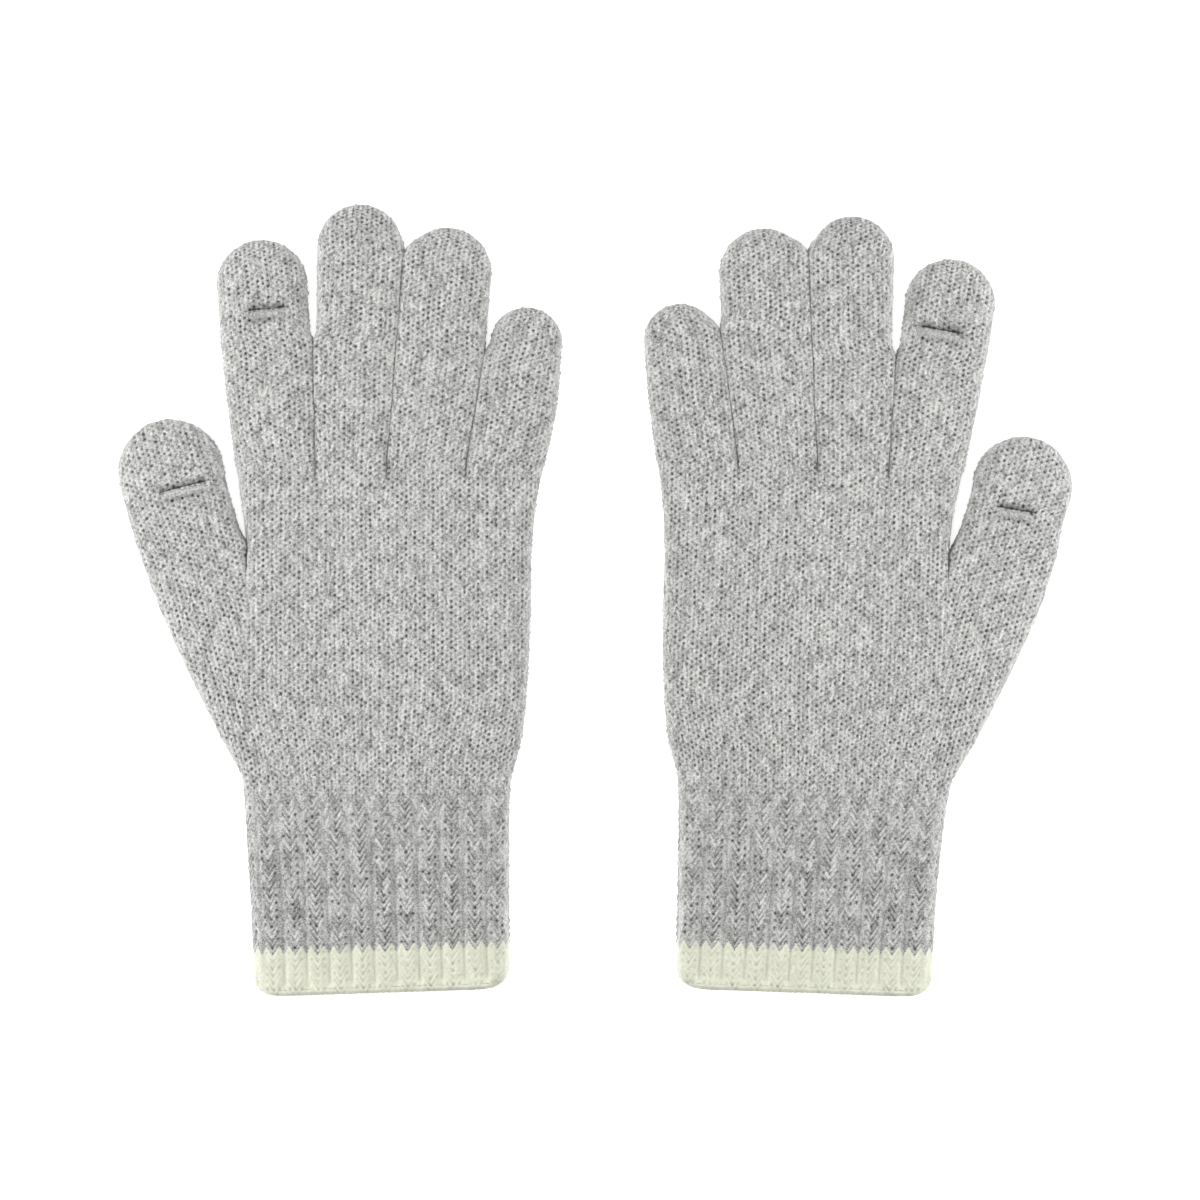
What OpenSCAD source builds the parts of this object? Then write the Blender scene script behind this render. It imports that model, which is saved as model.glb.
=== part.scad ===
// A pair of knitted touchscreen gloves lying side by side, palms up, backs on the surface at z = 0.
// Fingertips point along +Y and both thumbs point outwards. Hands, fingers and cuffs are hollow tubes.

/* [Glove] */
// Thickness of an empty glove lying flat
glove_thick = 9; // [7.5:0.5:12]
// Thickness of the knitted fabric
fabric = 1.5; // [1:0.1:2]
// Clearance left between pieces that move apart
gap = 0.6; // [0.4:0.1:1]
// Angle the right glove is turned by, fingertips towards its thumb
right_turn = 2; // [0:0.5:6]

/* [Cuff] */
// Length of the ribbed cuff, from the wrist to its mouth
cuff_len = 62.7; // [50:0.1:80]
// Length of the pale tipping, measured back from the mouth
tipping_len = 12.2; // [8:0.1:20]
// Length of the bound edge at the mouth
edge_len = 1.8; // [1.2:0.1:3]
// Ribs across one side of the cuff
ribs = 11; // [7:1:15]
// Depth of the furrow between two ribs
rib_depth = 0.7; // [0.3:0.1:0.9]
// Elastic threads laid round the inside of the cuff
elastic_threads = 5; // [3:1:6]

/* [Touch slits] */
// Width of the slit a bare fingertip is put through
slit_w = 12.6; // [9:0.1:16]
// Radius of the raised lip under the slit
lip_r = 1.1; // [0.6:0.1:1.6]

/* [Hidden] */
$fn = 32;

grey_yarn = "#B3B3AF";
cream_yarn = "#DEE0CE";
elastic_yarn = "#F2F2EE";

// A glove is drawn with its wrist at y = 0, thumb towards -X, and then placed in the pair.
wrist = [62.1, -50.5];          // where the wrist of each glove lies, to either side of x = 0
turn_centre = [60, -60];        // the right glove is turned about this point
pair_shift = [0.16, -0.12];     // brings the middle of the pair to x = 0, y = 0
finger_root = 90.2;             // y of the line where the four fingers leave the palm
thumb_root = 65.3;              // y of the line where the thumb leaves the palm
corner_r = 5.8;                 // rounding of the cuff's two mouth corners
mid = glove_thick / 2;

// Digits: y of the root line, its ends on the thumb side and on the little side, centre and
// radius of the round tip, and how far the touch slit lies below that centre.
ROOT_Y = 0;
ROOT_A = 1;
ROOT_B = 2;
TIP_X = 3;
TIP_Y = 4;
TIP_R = 5;
SLIT_DROP = 6;
left_thumb  = [thumb_root, -70.4, -40, -60.9, 87.3, 15.4, 3.5];
left_index  = [finger_root, -42.3, -18.8, -34.2, 141.3, 13.4, 7.6];
left_middle = [finger_root, -18.8, 1.8, -6.4, 152.9, 12.4];
left_ring   = [finger_root, 1.8, 24.7, 18.9, 145.3, 12.9];
left_little = [finger_root, 24.7, 47.3, 42.2, 124.7, 10.4];
right_thumb  = [thumb_root, -69.2, -40, -58.1, 85.8, 14.6, 6.2];
right_index  = [finger_root, -42.3, -18.8, -35.3, 137.5, 13.3, 7];
right_middle = [finger_root, -18.8, 1.8, -6.8, 150.1, 12.1];
right_ring   = [finger_root, 1.8, 24.7, 18.6, 144.5, 12.9];
right_little = [finger_root, 24.7, 47.3, 42, 124.3, 10.8];

// Slices of the hand from wrist to finger roots: y, edge on the thumb side, edge on the little side.
hand_slices = [[0.3, -40.3, 38], [8, -44.9, 40.1], [20, -51, 41.7], [35, -58.2, 42.8],
               [50, -64.8, 43.4], [thumb_root - gap / 2, -70.6, 43.6],
               [thumb_root, -39.9, 43.7], [80, -41.1, 45], [finger_root, -42.3, 47.3]];
cuff_a = [-39.8, -36.8];        // the cuff's thumb side edge at the wrist and at the tipping
cuff_b = [36.9, 37];            // and its little side edge

function mix(a, b, t) = a + (b - a) * t;

// Points of a flat tube's cross-section: two round ends joined by straight runs, pulled in by inset.
function flat_ring(s, inset = 0) =
    let (a = s[1] + inset, b = s[2] - inset, h = (s[3] == undef ? glove_thick : s[3]) / 2 - inset,
         rx = min(h, 0.4 * (b - a)))
    [for (t = [-90:22.5:90]) [b - rx + rx * cos(t), s[0], mid + h * sin(t)],
     for (t = [90:22.5:270]) [a + rx + rx * cos(t), s[0], mid + h * sin(t)]];

// The same cross-section with furrows of a given depth between the ribs of both runs.
function rib_ring(s, inset, depth) =
    let (a = s[1] + inset, b = s[2] - inset, h = glove_thick / 2 - inset, run = b - a - 2 * h,
         steps = 2 * ribs)
    [for (t = [-90:22.5:67.5]) [b - h + h * cos(t), s[0], mid + h * sin(t)],
     for (i = [0:steps]) [b - h - run * i / steps, s[0], mid + h - depth * (i % 2)],
     for (t = [112.5:22.5:247.5]) [a + h + h * cos(t), s[0], mid + h * sin(t)],
     for (i = [0:steps - 1]) [a + h + run * i / steps, s[0], mid - h + depth * (i % 2)]];

function reversed(list) = [for (i = [len(list) - 1:-1:0]) list[i]];

// Joins rings that have the same number of points into one closed solid, either capped at both
// ends or with its last ring joined back to its first.
module skin(rings, looped) {
    n = len(rings[0]);
    count = len(rings);
    sides = [for (k = [0:count - (looped ? 1 : 2)], i = [0:n - 1], half = [0, 1])
        let (j = (i + 1) % n, p = k * n, q = (k + 1) % count * n)
        half == 0 ? [p + i, p + j, q + i] : [p + j, q + j, q + i]];
    caps = looped ? [] : [[for (i = [n - 1:-1:0]) i], [for (i = [0:n - 1]) (count - 1) * n + i]];
    polyhedron([for (ring = rings) each ring], concat(caps, sides));
}

// A wall between an outer and an inner surface, open at both ends.
module sleeve(outer, inner) skin(concat(outer, reversed(inner)), true);
// The same, closed at the far end.
module pocket(outer, inner) skin(concat(reversed(inner), outer), false);

// A digit's slice at y, its sides tapering towards the tip and rounding off round it.
function digit_slice(d, y, inset) =
    let (r = d[TIP_R] - inset, up = max(0, y - d[TIP_Y]) / r,
         along = min(1, (y - d[ROOT_Y]) / (d[TIP_Y] - d[ROOT_Y])),
         round = sqrt(max(0, 1 - up * up)), thick = glove_thick - 2 * inset)
    up > 0
    ? [y, d[TIP_X] - r * round, d[TIP_X] + r * round, mix(0.3, 1, sqrt(round)) * thick]
    : [y, mix(d[ROOT_A] + inset, d[TIP_X] - r, along), mix(d[ROOT_B] - inset, d[TIP_X] + r, along), thick];
// Rings up a digit at the heights in ys, then round its tip.
function digit_rings(d, ys, inset, tipped) =
    let (r = d[TIP_R] - inset)
    [for (y = ys) flat_ring(digit_slice(d, y, inset)),
     if (tipped) for (t = [0, 18, 36, 52, 66, 80]) flat_ring(digit_slice(d, d[TIP_Y] + r * sin(t), inset))];
// Half the clearance to the neighbouring digit is taken off each side.
function eased(d) =
    [d[ROOT_Y], d[ROOT_A] + gap / 2, d[ROOT_B] - gap / 2, d[TIP_X], d[TIP_Y], d[TIP_R] - gap / 4];
function slit_y(d) = d[TIP_Y] - d[SLIT_DROP];

// Knitted tube of a digit from y0 to its closed fingertip.
module fingertip(d, y0)
    color(grey_yarn)
    pocket(digit_rings(eased(d), [y0], 0, true), digit_rings(eased(d), [y0], fabric, true));

// Knitted tube of a digit between two heights.
module digit_tube(d, y0, y1)
    color(grey_yarn)
    sleeve(digit_rings(eased(d), [y0, y1], 0, false), digit_rings(eased(d), [y0, y1], fabric, false));

module finger(d) fingertip(d, d[ROOT_Y] + gap);
module hood(d) fingertip(d, slit_y(d) + gap / 2);
module lower_part(d) digit_tube(d, d[ROOT_Y] + gap, slit_y(d) - gap / 2);

// The raised edge of the slit, a half-round bar lying on the palm side just below the opening.
module slit_lip(d)
    color(grey_yarn)
    translate([d[TIP_X], slit_y(d) - gap / 2 - lip_r, glove_thick])
    intersection() {
        union() {
            rotate([0, 90, 0]) cylinder(r = lip_r, h = slit_w - 2 * lip_r, center = true);
            for (side = [-1, 1])
                translate([side * (slit_w / 2 - lip_r), 0, 0]) sphere(r = lip_r);
        }
        translate([-slit_w / 2, -lip_r, 0]) cube([slit_w, 2 * lip_r, lip_r]);
    }

// The hand's tube, with a way through its shoulder into the thumb.
module hand() {
    shoulder = len(hand_slices) - 4;
    inner = [for (i = [0:len(hand_slices) - 1])
        let (s = hand_slices[i], step = i == shoulder || i == shoulder + 1)
        flat_ring([s[0] - (step ? fabric : 0), s[1], s[2]], fabric)];
    rim = fabric + 0.1;
    way_a = hand_slices[shoulder][1] + 2 * fabric;
    way_b = hand_slices[shoulder + 1][1] - rim;
    color(grey_yarn)
    difference() {
        sleeve([for (s = hand_slices) flat_ring(s)], inner);
        translate([way_a, thumb_root - 2 * fabric, rim])
            cube([way_b - way_a, 3 * fabric, glove_thick - 2 * rim]);
    }
}

// Slice of the cuff at y, its sides curving in round the mouth corners.
function cuff_slice(y) =
    let (along = min(1, -y / (cuff_len - tipping_len)), corner = max(0, corner_r - cuff_len - y),
         pull = corner_r - sqrt(pow(corner_r, 2) - pow(corner, 2)))
    [y, mix(cuff_a[0], cuff_a[1], along) + pull, mix(cuff_b[0], cuff_b[1], along) - pull];

lining = fabric + rib_depth / 2;
tipping_y = tipping_len - cuff_len;
edge_y = edge_len - cuff_len;
corner_y = corner_r - cuff_len;

module ribbed_tube(ys)
    sleeve([for (y = ys) rib_ring(cuff_slice(y), 0, rib_depth)],
           [for (y = ys) rib_ring(cuff_slice(y), lining, 0)]);

module cuff_rib()
    color(grey_yarn)
    ribbed_tube([tipping_y, 0]);
module cuff_tipping()
    color(cream_yarn)
    ribbed_tube([edge_y, mix(corner_y, edge_y, 0.6), corner_y, tipping_y]);
module cuff_edge() {
    ys = [0.15 - cuff_len, mix(edge_y, -cuff_len, 0.6), edge_y];
    color(cream_yarn)
    sleeve([for (y = ys) flat_ring(cuff_slice(y))], [for (y = ys) flat_ring(cuff_slice(y), lining)]);
}

// Fine elastic loops lying against the inside of the ribs.
module cuff_elastic() {
    thread = 0.7;
    inset = lining + 0.05;
    pitch = (cuff_len - tipping_len) / elastic_threads;
    color(elastic_yarn)
    for (i = [0:elastic_threads - 1]) {
        y = -(i + 0.5) * pitch;
        slices = [for (side = [-0.5, 0.5]) cuff_slice(y + side * thread)];
        sleeve([for (s = slices) flat_ring(s, inset)], [for (s = slices) flat_ring(s, inset + thread)]);
    }
}

// Placing the two gloves of the pair.
module left()
    translate(pair_shift)
    translate([-wrist.x, wrist.y, 0])
    children();
module right()
    translate(pair_shift + turn_centre)
    rotate(-right_turn)
    translate(-turn_centre)
    mirror([1, 0, 0])
    translate([-wrist.x, wrist.y, 0])
    children();

left() hand();  // left_hand
left() lower_part(left_thumb);
left() hood(left_thumb);  // left_thumb_hood
left() slit_lip(left_thumb);  // left_thumb_slit_lip
left() lower_part(left_index);  // left_index_finger
left() hood(left_index);  // left_index_hood
left() slit_lip(left_index);  // left_index_slit_lip
left() finger(left_middle);  // left_middle_finger
left() finger(left_ring);  // left_ring_finger
left() finger(left_little);  // left_little_finger
left() cuff_rib();  // left_cuff_rib
left() cuff_elastic();  // left_cuff_elastic
left() cuff_tipping();  // left_cuff_tipping
left() cuff_edge();  // left_cuff_edge
right() hand();  // right_hand
right() lower_part(right_thumb);
right() hood(right_thumb);  // right_thumb_hood
right() slit_lip(right_thumb);  // right_thumb_slit_lip
right() lower_part(right_index);  // right_index_finger
right() hood(right_index);  // right_index_hood
right() slit_lip(right_index);  // right_index_slit_lip
right() finger(right_middle);  // right_middle_finger
right() finger(right_ring);  // right_ring_finger
right() finger(right_little);  // right_little_finger
right() cuff_rib();  // right_cuff_rib
right() cuff_elastic();  // right_cuff_elastic
right() cuff_tipping();  // right_cuff_tipping
right() cuff_edge();  // right_cuff_edge
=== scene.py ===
"""A pair of knitted touchscreen gloves lying palms up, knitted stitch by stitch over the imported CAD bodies.

Lengths are in millimetres until a mesh is made. Each glove is laid out in its own frame, with the
wrist at y = 0, the thumb towards -X and the fingertips towards +Y, and is then placed in the pair.
"""

import math

import bpy
import numpy as np
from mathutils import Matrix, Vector

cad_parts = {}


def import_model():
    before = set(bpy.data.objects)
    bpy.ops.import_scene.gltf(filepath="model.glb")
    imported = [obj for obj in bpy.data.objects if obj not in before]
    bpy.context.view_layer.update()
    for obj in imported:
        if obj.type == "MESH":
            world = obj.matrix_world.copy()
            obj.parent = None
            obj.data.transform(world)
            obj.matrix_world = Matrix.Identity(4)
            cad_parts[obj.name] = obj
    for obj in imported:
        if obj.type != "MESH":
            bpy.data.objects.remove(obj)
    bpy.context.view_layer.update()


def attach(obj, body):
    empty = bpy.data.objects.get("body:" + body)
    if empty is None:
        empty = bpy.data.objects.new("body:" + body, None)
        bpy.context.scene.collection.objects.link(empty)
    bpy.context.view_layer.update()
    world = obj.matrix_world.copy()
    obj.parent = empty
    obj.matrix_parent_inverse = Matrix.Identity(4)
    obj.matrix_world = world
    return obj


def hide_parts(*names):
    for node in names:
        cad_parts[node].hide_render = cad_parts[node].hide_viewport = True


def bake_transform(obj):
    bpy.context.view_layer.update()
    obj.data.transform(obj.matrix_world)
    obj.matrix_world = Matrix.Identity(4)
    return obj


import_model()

# ---------------------------------------------------------------- sizes of the glove
WRIST = np.array([62.1, 50.5])  # the wrist of each glove lies this far to the side of, and below, the centre
TURN_CENTRE = np.array([60.0, -60.0])
RIGHT_TURN = math.radians(-2)
PAIR_SHIFT = np.array([0.16, -0.12])

BASE_Z, SEAM_Z, TOP_Z = 0.55, 3.5, 8.3  # underside, side edges and upper side of an empty tube
FINGER_ROOT, THUMB_ROOT = 90.2, 65.3
CUFF_LEN, TIPPING_LEN, EDGE_LEN, CORNER_R = 62.7, 12.2, 1.8, 6.2
TIPPING_Y, EDGE_Y = TIPPING_LEN - CUFF_LEN, EDGE_LEN - CUFF_LEN
HEM = 1.3  # thickness of the cloth where an edge of it shows
TURN_ROWS, TURN_STEP = 6, 3  # rows of mesh turned in at a slit, and how many rows of cloth each takes

# Outlines, as x at each y of the lists: the hand's outer edge on the little finger's side, its edge from the
# wrist to the thumb's root, the palm's edge above the crotch of the thumb, and the cuff's two edges.
CROTCH_X = {"left": -38.6, "right": -37.0}
FINGER_CLEFTS = (-18.8, 1.8, 24.7)
HAND_Y = [0, 8, 20, 35, 50, 65, 80, FINGER_ROOT]
HAND_EDGE = {
    "left": [37.6, 40.3, 41.9, 42.8, 43.4, 43.4, 44.8, 47.3],
    "right": [39.0, 42.0, 43.4, 44.4, 44.8, 44.8, 46.1, 48.2],
}
GUSSET_Y = [0, 8, 20, 35, 50, THUMB_ROOT]
GUSSET_EDGE = {
    "left": [-40.0, -44.7, -50.9, -58.2, -64.8, -70.4],
    "right": [-40.4, -45.1, -51, -57.8, -64.1, -68.4],
}
PALM_Y = [THUMB_ROOT, 72, 79, 85, FINGER_ROOT]
PALM_EDGE = {
    "left": [-38.6, -39.3, -40.3, -41.1, -42.0],
    "right": [-37.0, -37.6, -38.3, -39.5, -40.8],
}
CUFF_Y = [-CUFF_LEN, -50, -35, -20, -8, 0]
CUFF_EDGES = {
    "left": ([-36.8, -36.8, -37.7, -38.6, -39.3, -40.0], [37.0, 37.0, 36.9, 36.9, 37.1, 37.6]),
    "right": ([-36.8, -36.5, -36.9, -37.8, -39.0, -40.4], [37.0, 37.4, 37.7, 38.0, 38.3, 39.0]),
}

# Digits: root line's two ends, centre and radius of the tip, and how far its two sides bow out. A slit's line
# lies drop below the tip's centre, slopes by so many degrees, and its middle is shifted along it.
DIGITS = {
    "left": {
        "thumb": dict(a=-70.4, b=-38.6, tip=(-60.7, 87.4), r=15.2, bow=(0, -0.8),
                      slit=dict(drop=5.3, slope=14, shift=4.1, half=7.0)),
        "index": dict(a=-42.0, b=-18.8, tip=(-34.4, 141.4), r=13.1, bow=(0.6, 0),
                      slit=dict(drop=7.3, slope=6, shift=1.8, half=5.4)),
        "middle": dict(a=-18.8, b=1.8, tip=(-6.1, 152.4), r=12.3, bow=(0, 0)),
        "ring": dict(a=1.8, b=24.7, tip=(19.0, 145.1), r=12.9, bow=(0, 0.8)),
        "little": dict(a=24.7, b=47.3, tip=(42.0, 124.7), r=10.3, bow=(0, 1.0)),
    },
    "right": {
        "thumb": dict(a=-68.4, b=-37.0, tip=(-57.8, 85.5), r=14.3, bow=(-0.4, -1.2),
                      slit=dict(drop=7.3, slope=8, shift=2.2, half=5.4)),
        "index": dict(a=-40.8, b=-18.8, tip=(-35.1, 137.3), r=13.0, bow=(0.4, 0),
                      slit=dict(drop=8.2, slope=8.5, shift=2.8, half=6.2)),
        "middle": dict(a=-18.8, b=1.8, tip=(-6.4, 149.7), r=12.0, bow=(0, 0)),
        "ring": dict(a=1.8, b=24.7, tip=(18.9, 144.3), r=13.0, bow=(0, 0.9)),
        "little": dict(a=24.7, b=48.2, tip=(42.4, 124.2), r=10.5, bow=(0, 0.4)),
    },
}
FINGERS = ("index", "middle", "ring", "little")
TOUCH_Y = {"left": (124.6, 150.6, 121.2), "right": (121.6, 150.8, 127.2)}  # neighbours touch up to here
THUMB_TOUCH_Y = {"left": 67.6, "right": THUMB_ROOT}
LIP_PAST = 1.6  # the lip runs on past the slit's ends and sinks into the cloth there
LIP_R = 1.1

# ---------------------------------------------------------------- the knitting
WALE, FINGER_WALE, WRIST_WALE = 2.58, 2.87, 2.289  # widths of a column of stitches
COURSE, FINGER_COURSE, CUFF_COURSE = 1.67, 1.58, 2.06  # heights of a row of stitches
WALE_ORIGIN, MOUTH_ORIGIN = -1.45, 0.1  # x of the line that wales are counted from: on the palm, at the mouth
WALE_PHASE = 0.51
LEAN, CUFF_LEAN = 1.5, 1.3  # courses that a stitch's legs climb from the middle of their wale to its edges
PINHOLE_WIDTH, PINHOLE_HEIGHT = 0.25, 0.22  # in half wales, and in courses
STITCH_RELIEF = 0.55  # how far the stitches stand out
EDGE_RELIEF = 0.8  # how unevenly the stitches stand out along a silhouette
STEP_X, STEP_Y = 0.36, 0.3  # mesh spacing on the palm side
BACK_STEP_X, BACK_STEP_Y = 0.42, 0.36
RIBS_ACROSS = 11.4  # ribs to the width of the cuff, laid flat
RIB_GROOVE, RIB_DOME = 0.6, 0.45  # depth of the furrow between two ribs, and the fall of a rib's round top
RIB_MIDDLE, RIB_HALF = 0.42, 0.28  # where the knit wale of a rib lies, as parts of the rib's width
CLEFT_REACH = 2.7  # how far from a cleft between digits the cloth takes to rise again
CLEFT_FLOOR = 0.48  # how full the tubes still are where they press on each other
CLEFT_OVERLAP = 0.16  # how far each tube's stitches bed into its neighbour's there
HEM_RISE = {"left": 0.033, "right": 0.0}  # slope of the cuff's mouth
WELD = 0.004  # points closer than this are one
THREADS, THREAD_R = 5, 0.35  # elastic threads in a cuff, and their radius
THREAD_LOOP_Z, THREAD_LOOP_R = 4.0, 1.9  # height of their loops, and the radius of a loop's two ends


def smooth(t):
    """0 up to t = 0, 1 from t = 1, and a smooth rise between."""
    t = np.clip(t, 0.0, 1.0)
    return t * t * (3 - 2 * t)


def mix(a, b, t):
    return a + (b - a) * t


def hash01(*keys):
    """A repeatable random number from 0 to 1 for each set of whole numbers."""
    total = np.zeros(np.broadcast(*[np.asarray(k) for k in keys]).shape, np.uint64) + np.uint64(0x9E3779B9)
    with np.errstate(over="ignore"):
        for key in keys:
            total = (total ^ np.asarray(key).astype(np.int64).astype(np.uint64)) * np.uint64(0x100000001B3)
            total ^= total >> np.uint64(29)
            total *= np.uint64(0xBF58476D1CE4E5B9)
            total ^= total >> np.uint64(32)
    return (total >> np.uint64(40)).astype(float) / 2**24


def noise(x, y, seed):
    """Smooth noise from -1 to 1, one swell to a unit."""
    x, y = np.broadcast_arrays(x, y)
    ix, iy = np.floor(x), np.floor(y)
    fx, fy = smooth(x - ix), smooth(y - iy)
    low = mix(hash01(ix, iy, seed), hash01(ix + 1, iy, seed), fx)
    high = mix(hash01(ix, iy + 1, seed), hash01(ix + 1, iy + 1, seed), fx)
    return 2 * mix(low, high, fy) - 1


def knit(u, v, seed, lean=LEAN, open_work=1.0, parting=0.0):
    """Plain knitting at wale u and course v: relief from 0 to 1, tone of the leg, depth of pinholes, course.

    open_work scales the pinholes, and parting is how deep the slanting gaps between two legs are.
    """
    wale = np.floor(u)
    across = u - wale
    inward = 1 - np.abs(2 * across - 1)
    climb = v + lean * inward
    course = np.floor(climb)
    leg = 2 * wale + (across > 0.5)
    side = np.abs(2 * inward - 1)
    end = np.abs(2 * (climb - course) - 1)
    full = hash01(leg, course, seed) - 0.5
    column = np.round(2 * u)
    between = column % 2  # 0 between two wales, 1 in the middle of one
    row = np.round(v + lean * between)
    size = (0.45 + 1.5 * hash01(column, row, seed + 5) ** 2) * (1 - 0.35 * between)
    beside = (2 * u - column) / PINHOLE_WIDTH
    below = (v + lean * between - row) / PINHOLE_HEIGHT
    pinhole = open_work * size * np.exp(-(beside**2) - below**2)
    pinhole = np.maximum(pinhole, parting * end**3 * (0.3 + 1.4 * hash01(leg, course, seed + 6)))
    relief = 0.85 - 0.2 * side**2 - 0.12 * end**2 - 0.7 * pinhole + 0.35 * full
    return np.clip(relief, 0, 1.15), hash01(leg, course, seed + 3), pinhole, course


def knit_lightly_at(edge_distance):
    """Pinholes close up where the cloth turns over at the side of a tube."""
    return 0.2 + 0.8 * smooth((edge_distance - 1.4) / 3.2)


# The height of a course grows from the palm to the cuff, and the lean of the legs falls a little.
LONG_Y = np.linspace(-CUFF_LEN - 5, FINGER_ROOT + 5, 1600)


def towards_cuff(y):
    """0 on the palm, growing to 1 on the cuff."""
    return smooth((8 - y) / 26)


COURSE_HEIGHTS = mix(COURSE, CUFF_COURSE, towards_cuff(LONG_Y[1:]))
COURSES_UP = np.concatenate([[0], np.cumsum(np.diff(LONG_Y) / COURSE_HEIGHTS)])


def course_at(y):
    """Number of courses from the wrist up to y."""
    return np.interp(y, LONG_Y, COURSES_UP) - np.interp(0, LONG_Y, COURSES_UP)


def lean_at(y):
    return mix(LEAN, CUFF_LEAN, towards_cuff(y))


def line(ys, xs, y, ease=3.0):
    """A smooth edge line through the points (xs, ys)."""
    reach = np.clip(np.minimum(y - ys[0], ys[-1] - y) / ease, 0, 1)
    return sum(np.interp(y + k * reach, ys, xs) for k in (-4, -2, 0, 2, 4)) / 5


def hand_left(y, side):
    """The hand's edge on the thumb's side: the gusset up to the thumb's root, and the palm above it."""
    return np.where(y <= THUMB_ROOT, line(GUSSET_Y, GUSSET_EDGE[side], np.minimum(y, THUMB_ROOT)),
                    line(PALM_Y, PALM_EDGE[side], np.maximum(y, THUMB_ROOT)))


def palm_start(y, side):
    """The line between the thumb's gusset and the palm, and above the thumb the palm's edge."""
    left = hand_left(y, side)
    return np.where(y <= THUMB_ROOT, np.maximum(CROTCH_X[side], left + 0.02), left)


def hand_right(y, side):
    return line(HAND_Y, HAND_EDGE[side], y)


def cuff_edges(y, side):
    """The cuff's two side edges at y, which is 0 at the wrist and negative towards the mouth."""
    corner = np.clip(CORNER_R - CUFF_LEN - y, 0, CORNER_R)
    pull = CORNER_R - np.sqrt(np.maximum(CORNER_R**2 - corner**2, 0))
    left, right = [line(CUFF_Y, xs, y) for xs in CUFF_EDGES[side]]
    return left + pull, right - pull


def rounded(distance, reach):
    """How full the tube is at a distance from its edge: 0 at the edge, and 1 from reach inwards."""
    return np.sqrt(np.maximum(1 - (1 - np.clip(distance / reach, 0, 1)) ** 2, 0))


def closing(distance, reach, floor):
    """Fullness next to an edge where the tube is pressed on its neighbour and stands up steeply to floor."""
    rise = floor * rounded(distance, 0.3)
    return rise + (1 - rise) * rounded(distance, reach)


def swell(x, y, seed):
    """Slight unevenness of cloth that lies loosely."""
    return 0.22 * noise(x / 13, y / 17, seed) + 0.12 * noise(x / 5 + 9, y / 9, seed + 1)


# ---------------------------------------------------------------- meshes
class Piece:
    """Grids of points of one piece, gathered into a single welded mesh."""

    def __init__(self, name):
        self.name = name
        self.points, self.uvs, self.quads = [], [], []
        self.values = {"tone": [], "groove": [], "cream": []}
        self.count = 0

    def add(self, grid, values, outward=True, keep=None):
        """Adds a grid of points; keep says which of its quads are made."""
        rows, cols = grid.shape[:2]
        index = np.arange(rows * cols).reshape(rows, cols) + self.count
        quads = np.stack([index[:-1, :-1], index[:-1, 1:], index[1:, 1:], index[1:, :-1]], -1)
        if keep is not None:
            quads = quads[keep]
        quads = quads.reshape(-1, 4)
        self.quads.append(quads if outward else quads[:, ::-1])
        self.points.append(grid.reshape(-1, 3))
        uv = np.stack(np.broadcast_arrays(np.linspace(0, 1, cols)[None, :],
                                          np.linspace(0, 1, rows)[:, None]), -1).reshape(-1, 2)
        uv[:, 0] = uv[:, 0] * 0.49 + (0 if outward else 0.51)
        self.uvs.append(uv)
        for name, store in self.values.items():
            store.append(np.broadcast_to(values.get(name, 0.0), (rows, cols)).reshape(-1))
        self.count += rows * cols

    def welded(self):
        """Indices of the points that stay, and every face as corners in them and in the unwelded points."""
        points, quads = np.concatenate(self.points), np.concatenate(self.quads)
        _, first, merged = np.unique(np.round(points / WELD).astype(np.int64), axis=0,
                                     return_index=True, return_inverse=True)
        corners = merged.reshape(-1)[quads]
        repeated = corners == np.roll(corners, -1, axis=1)
        whole, folded = repeated.sum(1) == 0, repeated.sum(1) == 1
        pick = ~repeated[folded]  # a quad with two corners in one place becomes a triangle
        loops = np.concatenate([corners[whole].reshape(-1), corners[folded][pick]])
        sources = np.concatenate([quads[whole].reshape(-1), quads[folded][pick]])
        sizes = np.concatenate([np.full(whole.sum(), 4), np.full(folded.sum(), 3)])
        return first, loops, sources, sizes

    def build(self, side, material):
        first, loops, sources, sizes = self.welded()
        starts = np.concatenate([[0], np.cumsum(sizes)[:-1]])
        if side == "right":  # the right glove is a mirror image, so its faces are turned round
            owner = np.repeat(np.arange(len(sizes)), sizes)
            order = starts[owner] + sizes[owner] - 1 - (np.arange(len(loops)) - starts[owner])
            loops, sources = loops[order], sources[order]
        points = placed(np.concatenate(self.points)[first], side)
        mesh = bpy.data.meshes.new(self.name)
        mesh.vertices.add(len(first))
        mesh.vertices.foreach_set("co", points.astype(np.float32).ravel())
        mesh.loops.add(len(loops))
        mesh.loops.foreach_set("vertex_index", loops.astype(np.int32))
        mesh.polygons.add(len(sizes))
        mesh.polygons.foreach_set("loop_start", starts.astype(np.int32))
        mesh.polygons.foreach_set("use_smooth", np.ones(len(sizes), bool))
        mesh.update(calc_edges=True)
        layer = mesh.uv_layers.new(name="OFBake")
        layer.data.foreach_set("uv", np.concatenate(self.uvs)[sources].astype(np.float32).ravel())
        for name, store in self.values.items():
            attribute = mesh.attributes.new(name, "FLOAT", "POINT")
            attribute.data.foreach_set("value", np.concatenate(store)[first].astype(np.float32))
        mesh.validate()
        mesh.materials.append(material)
        obj = bpy.data.objects.new(self.name, mesh)
        bpy.context.scene.collection.objects.link(obj)
        return obj


def placed(points, side):
    """Points of a glove's own frame, in the row frame and in metres."""
    out = np.array(points, float)
    out[:, :2] -= WRIST
    if side == "right":
        out[:, 0] *= -1
        c, s = math.cos(RIGHT_TURN), math.sin(RIGHT_TURN)
        out[:, :2] = (out[:, :2] - TURN_CENTRE) @ np.array([[c, s], [-s, c]]) + TURN_CENTRE
    out[:, :2] += PAIR_SHIFT
    return out / 1000


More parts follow.
